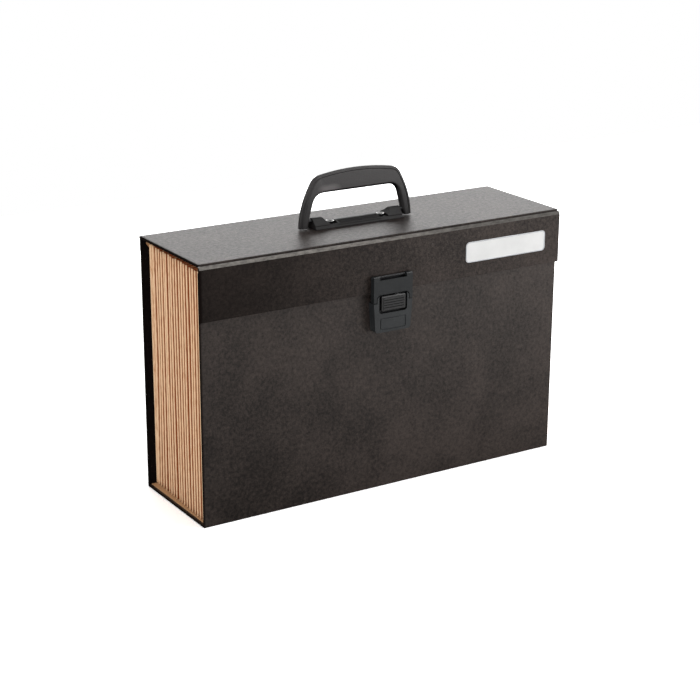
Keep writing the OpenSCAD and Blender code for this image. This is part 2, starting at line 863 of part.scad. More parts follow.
bottom_panel();
rear_panel();
front_panel();
lid_panel();
lid_flap();
lid_hinge_strip();
flap_hinge_strip();
front_hinge_strip();
rear_corner_strip();
rear_edge_tapes();
bottom_sheet();
rear_end_sheet();
front_end_sheet();
left_gusset();
right_gusset();
for (i = [1 : pocket_count - 1])
    divider(i);
handle_base();
handle_bail();
handle_pins();
handle_rivets();
handle_washer_plate();
hasp_bracket();
hasp_rivets();
hasp_pin();
hasp_plate();
lock_housing();
lock_back_plate();
lock_button();
button_spring();
lock_catch();
lock_rivets();
lock_washer_plate();
label_plate();
label_rim();
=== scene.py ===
import math
import random

import bmesh
import bpy
from mathutils import Matrix, Vector, noise

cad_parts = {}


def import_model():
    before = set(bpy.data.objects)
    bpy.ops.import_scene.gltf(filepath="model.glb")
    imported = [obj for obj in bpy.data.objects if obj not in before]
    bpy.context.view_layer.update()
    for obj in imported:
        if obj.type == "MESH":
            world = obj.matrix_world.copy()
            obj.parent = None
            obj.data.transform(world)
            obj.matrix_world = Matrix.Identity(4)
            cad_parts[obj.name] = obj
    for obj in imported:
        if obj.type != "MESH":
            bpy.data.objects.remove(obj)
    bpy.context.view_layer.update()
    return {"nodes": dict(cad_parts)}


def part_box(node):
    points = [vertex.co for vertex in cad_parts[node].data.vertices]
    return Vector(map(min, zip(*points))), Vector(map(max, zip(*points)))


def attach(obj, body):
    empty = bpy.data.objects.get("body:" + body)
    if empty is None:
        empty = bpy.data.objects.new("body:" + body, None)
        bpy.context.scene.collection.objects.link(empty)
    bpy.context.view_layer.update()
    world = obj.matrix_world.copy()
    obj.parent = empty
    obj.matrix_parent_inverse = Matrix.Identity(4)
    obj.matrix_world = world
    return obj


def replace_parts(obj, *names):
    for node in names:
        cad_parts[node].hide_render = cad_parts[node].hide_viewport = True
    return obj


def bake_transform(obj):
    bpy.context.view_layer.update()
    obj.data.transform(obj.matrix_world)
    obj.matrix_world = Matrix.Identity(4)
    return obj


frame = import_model()

MM = 0.001

# Places in the frame that the pieces are built from, in metres
LID_LOW, LID_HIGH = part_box("lid_panel")
FLAP_LOW, FLAP_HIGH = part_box("lid_flap")
FRONT_LOW, FRONT_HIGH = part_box("front_panel")
REAR_LOW, REAR_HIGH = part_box("rear_panel")
FLOOR_LOW, FLOOR_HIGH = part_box("bottom_panel")
FOLD_LOW, FOLD_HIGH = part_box("right_gusset")
BAIL_LOW, BAIL_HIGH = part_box("handle_bail")
LABEL_LOW, LABEL_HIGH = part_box("label_rim")
HALF_LEN = FRONT_HIGH.x
CASE_TOP = LID_HIGH.z

# Covered boards
COVER_RADIUS = 0.35 * MM
# Width along the case's left end over which the covering paper's colour and shine fall away as painted shade
LEFT_END_SHADE = 2.6 * MM
COVER_CUT = 18 * MM
BOARD_BOW = 0.10 * MM
LINING_INSET = 13 * MM
LINING_STEP = 0.12 * MM
CREASE_T = 0.3 * MM
FLAP_BEVEL_Y = 1.8 * MM
FLAP_BEVEL_Z = 3.2 * MM
FLAP_DROP = 0.8 * MM

# Rolled head of the handle's rivets, which stands a little above the solid
RIVET_RISE = 1.2 * MM
RIVET_HEAD_T = 1.5 * MM

# Bellows, with the fold lines of the solids; the first folds at the rear lie shallower, and the folds
# there slide forward by up to the slack, in millimetres
POCKETS = 19
FOLDS = 2 * POCKETS
SHEET_T = 0.4 * MM
FOLD_DEPTH = 13 * MM
FOLD_INSET_REAR = 8 * MM
FOLD_INSET_FRONT = 3.4 * MM
FOLD_REAR_Y = 55.9 * MM
FOLD_PITCH = 2 * FOLD_REAR_Y / POCKETS
RIDGE_RADIUS = 0.55 * MM
VALLEY_RADIUS = 0.4 * MM
FIRST_FOLDS = 2.2
FIRST_FOLD_OPEN = 0.55
REAR_SLACK = 3.4
TOP_TRIM = 0.9 * MM
GUSSET_ROWS = 44
DIVIDER_END_GAP = 2.2 * MM
TAB_PLACES = 6
TAB_W = 36 * MM
TAB_RISE = 4 * MM
TAB_MARGIN = 15 * MM

# Handle bail, with the same outline as the solid
BAIL_FOOT_Z = BAIL_LOW.z
BAIL_TOP_Z = BAIL_HIGH.z
BAIL_HALF = BAIL_HIGH.x
BAIL_STATIONS = 96

# Bail outline in millimetres: shoulder and grip below the crown, and the curves of side and crown
BAIL_SHOULDER = 10.5
BAIL_GRIP = 21.1
BAIL_SIDE_LEAN = 0.0247
BAIL_SIDE_CURVE = 0.0066
BAIL_CROWN_CURVE = 0.00217

# Bail sections in millimetres: (distance in from the edge, place along Y)
BAIL_OUTER_SECTION = [
    (3.6, 3.5), (2.9, 3.45), (1.9, 3.1), (1.0, 2.3), (0.35, 1.1), (0.05, -0.1), (0, -0.9), (0.2, -1.7),
    (0.8, -2.35), (1.6, -2.75), (2.3, -2.9), (2.6, -2.8), (2.75, -2.35), (3.05, -2.35), (3.25, -2.9),
    (3.7, -3.35), (4.4, -3.5),
]
BAIL_INNER_SECTION = [
    (2.9, -3.5), (2.3, -3.42), (1.6, -3.15), (0.9, -2.6), (0.4, -1.9), (0.1, -1.0), (0, 0.2), (0.1, 1.8),
    (0.5, 2.9), (1.3, 3.5),
]

# Smudge on the bail's face: one patch, long along X
SMUDGE_STRETCH = 0.34
SMUDGE_PLACE = (-31 * MM, -3.5 * MM, 289.8 * MM)
SMUDGE_REACH = 4.8 * MM

# Photograph's camera, from the fit of the case's corners
CAMERA_AZIMUTH = -32.154
CAMERA_ELEVATION = 18.392
CAMERA_ROLL = 0.296
CAMERA_RIGHT = -3.7 * MM
CAMERA_UP = 116.004 * MM
CAMERA_BACK = 1.763
CAMERA_LENS = 90.0

# Floor: it ends behind the case, before the lamps' light gives out
FLOOR_HALF = 2.3
FLOOR_REAR = 1.15
FLOOR_DROP = 0.2 * MM

# World as gloss and as diffuse surfaces receive it; the camera sees it white
WORLD_IN_GLOSS = 0.10
WORLD_LIGHT = 0.42


# Node trees

def node(tree, kind, inputs=None, **settings):
    """A shader node with its settings; an input is a value or another node's output."""
    made = tree.nodes.new(kind)
    for key, value in settings.items():
        setattr(made, key, value)
    for key, value in (inputs or {}).items():
        if isinstance(value, bpy.types.NodeSocket):
            tree.links.new(value, made.inputs[key])
        else:
            made.inputs[key].default_value = value
    return made


def coordinates(tree, stretch=(1, 1, 1)):
    """Object coordinates, stretched along an axis for fibres and brushing."""
    here = node(tree, "ShaderNodeTexCoord").outputs["Object"]
    return node(tree, "ShaderNodeMapping", {"Vector": here, "Scale": stretch}).outputs["Vector"]


def noise_value(tree, where, scale, detail=3.0, rough=0.5, distortion=0.0):
    """Noise from 0 to 1 at a scale in waves per metre."""
    made = node(tree, "ShaderNodeTexNoise", {
        "Vector": where, "Scale": scale, "Detail": detail, "Roughness": rough, "Distortion": distortion})
    return made.outputs["Fac"]


def remap(tree, value, low, high, to_low=0.0, to_high=1.0):
    made = node(tree, "ShaderNodeMapRange", {
        "Value": value, "From Min": low, "From Max": high, "To Min": to_low, "To Max": to_high})
    return made.outputs["Result"]


def math_node(tree, operation, a, b=0.0):
    return node(tree, "ShaderNodeMath", {0: a, 1: b}, operation=operation).outputs[0]


def mix_colour(tree, factor, a, b, blend="MIX"):
    made = node(tree, "ShaderNodeMix", {0: factor}, data_type="RGBA", blend_type=blend)
    for index, value in ((6, a), (7, b)):
        if isinstance(value, bpy.types.NodeSocket):
            tree.links.new(value, made.inputs[index])
        else:
            made.inputs[index].default_value = (*value, 1)
    return made.outputs[2]


def bump(tree, height, strength, distance, under=None):
    inputs = {"Height": height, "Strength": strength, "Distance": distance}
    if under is not None:
        inputs["Normal"] = under
    return node(tree, "ShaderNodeBump", inputs).outputs["Normal"]


def new_material(name, **values):
    """A material whose uniform values sit on the shader's own sockets."""
    material = bpy.data.materials.new(name)
    material.use_nodes = True
    shader = material.node_tree.nodes["Principled BSDF"]
    for key, value in values.items():
        shader.inputs[key.replace("_", " ")].default_value = value
    return material, material.node_tree, shader


def plug(tree, shader, **sockets):
    for key, value in sockets.items():
        tree.links.new(value, shader.inputs[key.replace("_", " ")])


def near_points(tree, where, points, reach):
    """1 at the given points, falling to 0 at reach metres from them."""
    total = 0.0
    for point in points:
        away = node(tree, "ShaderNodeVectorMath", {0: where, 1: point}, operation="DISTANCE").outputs["Value"]
        total = math_node(tree, "MAXIMUM", remap(tree, away, reach, 0.0), total)
    return total


# Materials

def along_x(tree, start, end):
    """0 up to one place along the case and 1 past another."""
    place = node(tree, "ShaderNodeSeparateXYZ", {"Vector": coordinates(tree)}).outputs["X"]
    return node(tree, "ShaderNodeMapRange", {"Value": place, "From Min": start, "From Max": end},
                interpolation_type="SMOOTHSTEP").outputs["Result"]


def covering_paper(name, dark, pale, rough, wear_and_glint_points=(), wear_and_glint_reach=3 * MM, shine=(0.42, 0.42)):
    """Black covering paper: mottled, grained and smudged; its shine may differ between the case's ends, its
    colour darkens towards the left end by the same share as painted shade, and the left end's edge is painted
    darker still as painted shade.
    """
    material, tree, shader = new_material(name, Specular_Tint=(1, 0.93, 0.89, 1))
    where = coordinates(tree)
    grain = noise_value(tree, where, 820, 4, 0.6)
    mottle = noise_value(tree, where, 290, 6, 0.68)
    smudge = noise_value(tree, where, 17, 3, 0.55, 0.6)
    patch = noise_value(tree, where, 5, 2, 0.5)
    shine_and_shade_ramp = along_x(tree, -HALF_LEN, 0.3 * HALF_LEN)
    tone = remap(tree, mottle, 0.3, 0.7, 0.0, 1.0)
    tone = math_node(tree, "ADD", tone, remap(tree, smudge, 0.35, 0.65, -0.22, 0.20))
    tone = math_node(tree, "ADD", tone, remap(tree, patch, 0.3, 0.7, -0.15, 0.15))
    tone = math_node(tree, "ADD", tone, remap(tree, grain, 0.3, 0.7, -0.30, 0.30))
    # Painted shade along the left end's edge: colour and shine fall to nothing there
    left_end_shade = along_x(tree, -HALF_LEN - 0.3 * MM, -HALF_LEN + LEFT_END_SHADE)
    # Painted shade: the colour darkens towards the left by the ratio of the two shine values
    tone = math_node(tree, "MULTIPLY", tone, remap(tree, shine_and_shade_ramp, 0, 1, shine[0] / shine[1]))
    tone = math_node(tree, "MULTIPLY", tone, left_end_shade)
    colour = mix_colour(tree, tone, dark, pale)
    specks = node(tree, "ShaderNodeTexVoronoi", {"Vector": where, "Scale": 62.0, "Randomness": 1.0})
    chosen = math_node(tree, "GREATER_THAN", node(
        tree, "ShaderNodeSeparateColor", {"Color": specks.outputs["Color"]}).outputs["Red"], 0.95)
    dot = remap(tree, specks.outputs["Distance"], 0.026, 0.016)
    colour = mix_colour(tree, math_node(tree, "MULTIPLY", chosen, dot), colour, (0.16, 0.15, 0.14))
    # Pale corners: partly worn paper and partly a painted glint
    if wear_and_glint_points:
        wear_and_glint = near_points(tree, where, wear_and_glint_points, wear_and_glint_reach)
        wear_and_glint = math_node(tree, "ADD", wear_and_glint, remap(tree, mottle, 0.3, 0.7, -0.35, 0.35))
        wear_and_glint = remap(tree, wear_and_glint, 0.45, 0.8)
        colour = mix_colour(tree, wear_and_glint, colour, (0.75, 0.72, 0.69))
    plug(tree, shader,
         Base_Color=colour,
         Specular_IOR_Level=math_node(tree, "MULTIPLY", remap(tree, shine_and_shade_ramp, 0, 1, *shine), left_end_shade),
         Roughness=remap(tree, mottle, 0.25, 0.75, rough + 0.07, rough - 0.06),
         Normal=bump(tree, grain, 0.6, 0.09 * MM, bump(tree, mottle, 0.5, 0.30 * MM)))
    return material


def worn_paper_with_painted_highlight(name):
    """The paper along the crease: pale and blotchy, partly from wear by opening and closing and partly as a
    painted highlight, which fades towards the right.
    """
    material, tree, shader = new_material(name, Specular_IOR_Level=0.35)
    blotch = noise_value(tree, coordinates(tree, (0.35, 1, 1)), 420, 5, 0.65)
    grain = noise_value(tree, coordinates(tree), 1700, 3, 0.5)
    colour = mix_colour(tree, remap(tree, blotch, 0.28, 0.72), (0.06, 0.054, 0.048), (0.30, 0.28, 0.255))
    # The painted highlight fades: the pale band darkens towards the right
    fading = along_x(tree, -0.1 * HALF_LEN, 0.5 * HALF_LEN)
    colour = mix_colour(tree, remap(tree, fading, 0, 1, 0, 0.55), colour, (0.05, 0.045, 0.04))
    colour = mix_colour(tree, remap(tree, grain, 0.35, 0.65, 0, 0.25), colour, (0.06, 0.055, 0.05))
    plug(tree, shader,
         Base_Color=colour,
         Roughness=remap(tree, blotch, 0.3, 0.7, 0.62, 0.50),
         Normal=bump(tree, grain, 0.5, 0.05 * MM))
    return material


def kraft_paper(name, body, valley_shade, ridge, folded=False):
    """Kraft paper with upright fibres; a folded one has painted shade deep in its valleys and a painted
    highlight along its ridges.
    """
    material, tree, shader = new_material(name, Specular_IOR_Level=0.22)
    fibres = noise_value(tree, coordinates(tree, (1, 1, 0.12)), 900, 5, 0.6)
    flecks = noise_value(tree, coordinates(tree), 1600, 3, 0.5)
    cloud = noise_value(tree, coordinates(tree), 26, 3, 0.5)
    colour = mix_colour(tree, remap(tree, fibres, 0.3, 0.7), body, tuple(1.16 * c for c in body))
    colour = mix_colour(tree, remap(tree, flecks, 0.64, 0.74, 0, 0.35), colour, tuple(0.55 * c for c in body))
    colour = mix_colour(tree, remap(tree, cloud, 0.3, 0.7, 0, 0.22), colour, tuple(0.82 * c for c in body))
    if folded:
        fold = node(tree, "ShaderNodeAttribute", attribute_name="fold").outputs["Fac"]
        # The fold value places painted shade in the valleys and a painted highlight on the ridges
        painted_fold_light = math_node(tree, "ADD", fold, remap(tree, fibres, 0.3, 0.7, -0.02, 0.02))
        colour = mix_colour(tree, remap(tree, painted_fold_light, 1.0, 0.925), colour, valley_shade)
        colour = mix_colour(tree, remap(tree, painted_fold_light, 0.965, 1.0), colour, ridge)
    plug(tree, shader,
         Base_Color=colour,
         Roughness=remap(tree, fibres, 0.2, 0.8, 0.62, 0.80),
         Normal=bump(tree, fibres, 0.45, 0.06 * MM, bump(tree, cloud, 0.3, 0.3 * MM)))
    return material


def groove_shade_mask(tree, where):
    """1 in the grooves between the button's ridges, where shade is painted in."""
    low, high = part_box("lock_button")
    place = node(tree, "ShaderNodeSeparateXYZ", {"Vector": where}).outputs
    mask = remap(tree, place["Y"], low.y + 0.12 * MM, low.y + 0.38 * MM)
    across = math_node(tree, "ABSOLUTE", place["X"])
    up = math_node(tree, "ABSOLUTE", math_node(tree, "SUBTRACT", place["Z"], (low.z + high.z) / 2))
    in_width = math_node(tree, "LESS_THAN", across, high.x - 1.8 * MM)
    in_height = math_node(tree, "LESS_THAN", up, (high.z - low.z) / 2 - 2.4 * MM)
    return math_node(tree, "MULTIPLY", math_node(tree, "MULTIPLY", mask, in_width), in_height)


def moulded_plastic(name, dark, pale, rough, scuff=0.0, shine=0.45, smudged_and_painted_light=False, painted_groove_shade=False):
    """Moulded plastic with a spark-eroded grain and uneven gloss. The handle's copy is smudged, painted
    lighter towards the bail's top as painted light and darker on faces that look down as painted shade; the
    button's copy has painted shade in its grooves.
    """
    material, tree, shader = new_material(name, Specular_IOR_Level=shine)
    where = coordinates(tree)
    grain = noise_value(tree, where, 1500, 3, 0.6)
    cells = node(tree, "ShaderNodeTexVoronoi", {"Vector": where, "Scale": 2600.0}).outputs["Distance"]
    uneven = noise_value(tree, where, 60, 4, 0.55)
    marks = noise_value(tree, coordinates(tree, (1, 1, 0.35)), 45, 5, 0.62, 1.2)
    tone = math_node(tree, "ADD", remap(tree, uneven, 0.3, 0.7), remap(tree, grain, 0.3, 0.7, -0.45, 0.45))
    colour = mix_colour(tree, tone, dark, pale)
    colour = mix_colour(tree, remap(tree, marks, 0.60, 0.72, 0, scuff), colour, tuple(2.4 * c for c in pale))
    if smudged_and_painted_light:
        # Painted light: the bail's face is painted lighter towards its top, grained
        place = node(tree, "ShaderNodeSeparateXYZ", {"Vector": where}).outputs["Z"]
        crown_painted_light = remap(tree, place, BAIL_TOP_Z - 34 * MM, BAIL_TOP_Z - 14 * MM, 0, 0.9)
        crown_painted_light = math_node(tree, "MULTIPLY", crown_painted_light, remap(tree, grain, 0.3, 0.7, 0.55, 1.0))
        colour = mix_colour(tree, crown_painted_light, colour, tuple(2.0 * c for c in pale))
        centre = (SMUDGE_PLACE[0] * SMUDGE_STRETCH, SMUDGE_PLACE[1], SMUDGE_PLACE[2])
        near = near_points(tree, coordinates(tree, (SMUDGE_STRETCH, 1, 1)), [centre], SMUDGE_REACH)
        near = math_node(tree, "ADD", near, remap(tree, marks, 0.3, 0.7, -0.25, 0.25))
        near = remap(tree, near, 0.10, 0.75, 0, 0.85)
        colour = mix_colour(tree, near, colour, tuple(4.6 * c for c in pale))
    if smudged_and_painted_light:
        # Painted shade: faces that look down are painted darker, with little shine
        facing = node(tree, "ShaderNodeSeparateXYZ", {
            "Vector": node(tree, "ShaderNodeTexCoord").outputs["Normal"]}).outputs["Z"]
        under = remap(tree, facing, -0.15, -0.55)
        colour = mix_colour(tree, under, colour, tuple(0.2 * c for c in dark))
        plug(tree, shader, Specular_IOR_Level=remap(tree, under, 0, 1, shine, 0.04))
    if painted_groove_shade:
        # Painted shade in the button's grooves: a darker colour and little shine
        groove_shade = groove_shade_mask(tree, where)
        colour = mix_colour(tree, remap(tree, groove_shade, 0, 1, 0, 0.85), colour, tuple(0.3 * c for c in dark))
        plug(tree, shader, Specular_IOR_Level=remap(tree, groove_shade, 0, 1, shine, 0.10))
    plug(tree, shader,
         Base_Color=colour,
         Roughness=remap(tree, uneven, 0.3, 0.7, rough - 0.05, rough + 0.06),
         Normal=bump(tree, grain, 0.5, 0.07 * MM, bump(tree, cells, 0.25, 0.03 * MM)))
    return material


def worked_metal(name, colour, rough, stretch=(1, 1, 1), metallic=1.0):
    """Plated or rolled metal with fine streaks and a slightly uneven polish."""
    material, tree, shader = new_material(name, Metallic=metallic)
    streaks = noise_value(tree, coordinates(tree, stretch), 1400, 4, 0.6)
    cloud = noise_value(tree, coordinates(tree), 90, 3, 0.5)
    tint = mix_colour(tree, remap(tree, cloud, 0.3, 0.7), colour, tuple(0.82 * c for c in colour))
    plug(tree, shader,
         Base_Color=tint,
         Roughness=remap(tree, streaks, 0.25, 0.75, rough - 0.07, rough + 0.10),
         Normal=bump(tree, streaks, 0.25, 0.02 * MM))
    return material


def label_card(name):
    """Blank label: satin white with a faint tooth and slight unevenness."""
    material, tree, shader = new_material(name, Specular_IOR_Level=0.4)
    tooth = noise_value(tree, coordinates(tree), 1900, 3, 0.5)
    cloud = noise_value(tree, coordinates(tree), 70, 3, 0.5)
    colour = mix_colour(tree, remap(tree, cloud, 0.3, 0.7), (0.86, 0.86, 0.85), (0.80, 0.80, 0.79))
    plug(tree, shader,
         Base_Color=colour,
         Roughness=remap(tree, cloud, 0.3, 0.7, 0.34, 0.44),
         Normal=bump(tree, tooth, 0.2, 0.02 * MM))
    return material


# Lid corners, painted pale: partly worn paper and partly a painted glint
LID_CORNERS = [(side * HALF_LEN * 1.0045, y, CASE_TOP - 0.8 * MM)
               for side in (-1, 1) for y in (FLAP_LOW.y + 1 * MM, LID_HIGH.y - 0.5 * MM)]
PAPER_DARK, PAPER_PALE = (0.0095, 0.0070, 0.0061), (0.056, 0.0420, 0.0363)
BLACK_PAPER = covering_paper("black covering paper", PAPER_DARK, PAPER_PALE, 0.48, LID_CORNERS, 3.6 * MM)
# The front's and the flap's papers darken towards the left as painted shade; the flap's copy is also darker
# overall, as painted shade
SHADED_FRONT_PAPER = covering_paper("front covering paper with painted shade", PAPER_DARK, PAPER_PALE, 0.48, shine=(0.40, 0.46))
SHADED_FLAP_PAPER = covering_paper("flap covering paper with painted shade", (0.0075, 0.0054, 0.0048), PAPER_PALE, 0.46, LID_CORNERS,
                            3.2 * MM, shine=(0.08, 0.27))
WORN_PAPER_PAINTED_HIGHLIGHT = worn_paper_with_painted_highlight("worn crease paper with painted highlight")
# Black paper for the crease strips and tapes, partly its own black and partly painted shade: darker than the
# covering and nearly without shine
EDGE_PAPER_PAINTED_SHADE = covering_paper("black crease paper with painted shade", (0.005, 0.004, 0.004), (0.010, 0.008, 0.008), 0.70,
                            shine=(0.01, 0.01))
KRAFT = kraft_paper("kraft paper", (0.60, 0.35, 0.18), (0.30, 0.12, 0.045), (0.86, 0.62, 0.42))
# Folded kraft: the second colour is painted shade for the valleys, the third a painted highlight for the
# ridges
FOLDED_KRAFT = kraft_paper("folded kraft paper", (0.66, 0.305, 0.137), (0.300, 0.070, 0.019),
                           (0.95, 0.66, 0.41), True)
HANDLE_PLASTIC = moulded_plastic("handle plastic", (0.017, 0.0155, 0.0155), (0.031, 0.0285, 0.0285), 0.46,
                                 0.30, smudged_and_painted_light=True)
BASE_PLASTIC = moulded_plastic("handle base plastic", (0.010, 0.0092, 0.0092), (0.018, 0.0165, 0.0165), 0.50,
                               0.25, 0.24)
LOCK_PLASTIC = moulded_plastic("lock plastic", (0.015, 0.0170, 0.0185), (0.024, 0.0265, 0.0285), 0.40, 0.10)
HASP_PLASTIC = moulded_plastic("hasp plastic", (0.009, 0.0103, 0.0112), (0.015, 0.0166, 0.0178), 0.42,
                               0.10, 0.36)
BUTTON_PLASTIC = moulded_plastic("button plastic", (0.014, 0.0135, 0.014), (0.024, 0.023, 0.023), 0.42, 0.15,
                                 painted_groove_shade=True)
STEEL = worked_metal("plated steel", (0.52, 0.52, 0.53), 0.32, (1, 8, 8))
BLACK_STEEL = worked_metal("blackened steel", (0.028, 0.028, 0.030), 0.42, (1, 6, 6), 0.5)
BRIGHT_METAL = worked_metal("rolled rivet metal", (0.86, 0.855, 0.845), 0.30, metallic=0.4)
SATIN_METAL = worked_metal("satin rim metal", (0.60, 0.61, 0.63), 0.30, (1, 6, 6))
LABEL = label_card("blank label card")


# Mesh helpers

def dress(target, material):
    """Give a mesh its first material, keeping which faces take a second one."""
    indices = [polygon.material_index for polygon in target.data.polygons]
    target.data.materials.clear()
    target.data.materials.append(material)
    if any(indices):
        target.data.polygons.foreach_set("material_index", indices)


def new_piece(name, shape, material, smooth=True):
    """An object from a bmesh, with one material."""
    mesh = bpy.data.meshes.new(name)
    shape.normal_update()
    shape.to_mesh(mesh)
    shape.free()
    mesh.polygons.foreach_set("use_smooth", [smooth] * len(mesh.polygons))
    made = bpy.data.objects.new(name, mesh)
    bpy.context.scene.collection.objects.link(made)
    dress(made, material)
    return made


def even_normals(piece):
    """Flat faces shade flat and the rounded edges between them shade smooth."""
    made = piece.modifiers.new("even normals", "WEIGHTED_NORMAL")
    made.keep_sharp = False
    made.weight = 80
    return piece


def extruded(profile, axis, start, end):
    """A closed profile of two coordinates, drawn out along X or Y."""
    shape = bmesh.new()
    if axis == "x":
        points = [shape.verts.new((start, a, b)) for a, b in profile]
        step = Vector((end - start, 0, 0))
    else:
        points = [shape.verts.new((a, start, b)) for a, b in profile]
        step = Vector((0, end - start, 0))
    face = shape.faces.new(points)
    moved = bmesh.ops.extrude_face_region(shape, geom=[face])
    verts = [v for v in moved["geom"] if isinstance(v, bmesh.types.BMVert)]
    bmesh.ops.translate(shape, vec=step, verts=verts)
    bmesh.ops.recalc_face_normals(shape, faces=shape.faces)
    return shape


def box_shape(low, high):
    profile = [(low.y, low.z), (high.y, low.z), (high.y, high.z), (low.y, high.z)]
    return extruded(profile, "x", low.x, high.x)


def round_edges(shape, radius, segments=3, least_angle=25):
    sharp = [e for e in shape.edges if e.calc_face_angle(0) > math.radians(least_angle)]
    bmesh.ops.bevel(shape, geom=sharp, offset=radius, segments=segments, profile=0.5, affect="EDGES",
                    clamp_overlap=True)


def cut_evenly(shape, axis, spacing, low, high):
    """Cross cuts along an axis, so that a board can bow a little."""
    normal = Vector((axis == 0, axis == 1, axis == 2))
    count = max(1, round((high - low) / spacing))
    for i in range(1, count):
        here = normal * (low + (high - low) * i / count)
        geometry = shape.verts[:] + shape.edges[:] + shape.faces[:]
        bmesh.ops.bisect_plane(shape, geom=geometry, plane_co=here, plane_no=normal)


def add_lining(shape, direction):
    """A lining sheet inside the turned-in edges: a shallow step round the face that looks in a direction."""
    face = max(shape.faces, key=lambda f: f.calc_area() * (f.normal.dot(direction) > 0.99))
    bmesh.ops.inset_region(shape, faces=[face], thickness=LINING_INSET, depth=0)
    bmesh.ops.inset_region(shape, faces=[face], thickness=LINING_STEP, depth=-LINING_STEP)


def bow(shape, axis, amount, seed):
    """Slight unevenness of glued board: vertices move in along one axis by low, smooth noise."""
    for vert in shape.verts:
        where = Vector((vert.co.x * 7, vert.co.y * 7, vert.co.z * 7 + seed))
        vert.co[axis] += amount * noise.noise(where)


def covered_board(name, cad_node, body, thin_axis, material, inner=None):
    """A board wrapped in covering paper: rounded edges, a slight bow and perhaps a lining inside."""
    low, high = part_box(cad_node)
    shape = box_shape(low, high)
    round_edges(shape, COVER_RADIUS)
    if inner is not None:
        add_lining(shape, Vector(inner))
    for axis in range(3):
        if axis != thin_axis:
            cut_evenly(shape, axis, COVER_CUT, low[axis], high[axis])
    bow(shape, thin_axis, BOARD_BOW, thin_axis * 3.1 + low.z)
    piece = even_normals(new_piece(name, shape, material))
    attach(piece, body)
    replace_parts(piece, cad_node)
    return piece


def strip_along_x(name, cad_node, profile, low_x, high_x, material, start, end):
    """A crease strip: an L or flat profile along X, cut across at three heights and along its length."""
    shape = extruded(profile, "x", low_x, high_x)
    for z in (start[2], (start[2] + end[2]) / 2, end[2]):
        geometry = shape.verts[:] + shape.edges[:] + shape.faces[:]
        bmesh.ops.bisect_plane(shape, geom=geometry, plane_co=(0, 0, z), plane_no=(0, 0, 1))
    cut_evenly(shape, 0, 4 * COVER_CUT, low_x, high_x)
    piece = new_piece(name, shape, material, smooth=False)
    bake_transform(piece)
    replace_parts(piece, cad_node)
    return piece


# Case boards

covered_board("bottom_board", "bottom_panel", "case", 2, BLACK_PAPER)
covered_board("rear_board", "rear_panel", "case", 1, BLACK_PAPER)
covered_board("front_board", "front_panel", "front", 1, SHADED_FRONT_PAPER)
covered_board("lid_board", "lid_panel", "lid", 2, BLACK_PAPER, inner=(0, 0, -1))


def flap_board():
    """The flap, whose top edge slopes from the crease down to its face."""
    top = FLAP_HIGH.z - FLAP_DROP
    profile = [
        (FLAP_HIGH.y, FLAP_LOW.z), (FLAP_HIGH.y, top),
        (FLAP_LOW.y + FLAP_BEVEL_Y, top), (FLAP_LOW.y, top - FLAP_BEVEL_Z),
        (FLAP_LOW.y, FLAP_LOW.z),
    ]
    shape = extruded(profile, "x", FLAP_LOW.x, FLAP_HIGH.x)
    round_edges(shape, 0.35 * MM)
    add_lining(shape, Vector((0, 1, 0)))
    cut_evenly(shape, 0, COVER_CUT, FLAP_LOW.x, FLAP_HIGH.x)
    cut_evenly(shape, 2, COVER_CUT, FLAP_LOW.z, FLAP_HIGH.z)
    bow(shape, 1, 0.08 * MM, 9.7)
    # The sloped top edge takes the crease paper, pale partly from wear and partly as a painted highlight
    slope = Vector((0, -FLAP_BEVEL_Z, FLAP_BEVEL_Y)).normalized()
    shape.normal_update()
    for face in shape.faces:
        face.material_index = 1 if face.normal.dot(slope) > 0.97 else 0
    piece = even_normals(new_piece("flap_board", shape, SHADED_FLAP_PAPER))
    piece.data.materials.append(WORN_PAPER_PAINTED_HIGHLIGHT)
    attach(piece, "flap")
    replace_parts(piece, "lid_flap")


flap_board()


# Crease strips

def crease_strips():
    low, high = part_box("lid_hinge_strip")
    profile = [(low.y, low.z), (high.y, low.z), (high.y, high.z), (low.y, high.z)]
    strip_along_x("rear_crease_strip", "lid_hinge_strip", profile, low.x, high.x, BLACK_PAPER,
                  (0, high.y, LID_LOW.z - 2.2 * MM), (0, high.y, LID_LOW.z + 0.9 * MM))
    low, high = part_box("flap_hinge_strip")
    thin = CREASE_T
    profile = [(low.y, high.z), (low.y, low.z), (low.y + thin, low.z),
               (low.y + thin, high.z - thin), (high.y, high.z - thin), (high.y, high.z)]
    shape = extruded(profile, "x", low.x, high.x)
    for y in (low.y + 0.9 * MM, low.y + 1.8 * MM):
        geometry = shape.verts[:] + shape.edges[:] + shape.faces[:]
        bmesh.ops.bisect_plane(shape, geom=geometry, plane_co=(0, y, 0), plane_no=(0, 1, 0))
    cut_evenly(shape, 0, 4 * COVER_CUT, low.x, high.x)
    piece = new_piece("flap_crease_strip", shape, EDGE_PAPER_PAINTED_SHADE, smooth=False)
    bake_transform(piece)
    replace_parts(piece, "flap_hinge_strip")
    low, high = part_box("front_hinge_strip")
    profile = [(low.y, low.z), (high.y, low.z), (high.y, low.z + thin),
               (low.y + thin, low.z + thin), (low.y + thin, high.z), (low.y, high.z)]
    strip_along_x("front_crease_strip", "front_hinge_strip", profile, low.x, high.x, EDGE_PAPER_PAINTED_SHADE,
                  (0, low.y + 1 * MM, low.z + 0.1 * MM), (0, low.y, low.z + 1.5 * MM))


crease_strips()


# Bellows

def fold_inset(i):
    return FOLD_INSET_REAR + (FOLD_INSET_FRONT - FOLD_INSET_REAR) * i / FOLDS


def fold_y(i):
    return FOLD_REAR_Y - i * FOLD_PITCH / 2


def settle(i):
    """Folds glued to the end boards stay put; the ones between wander."""
    return min(1.0, i / 3, (FOLDS - i) / 3)


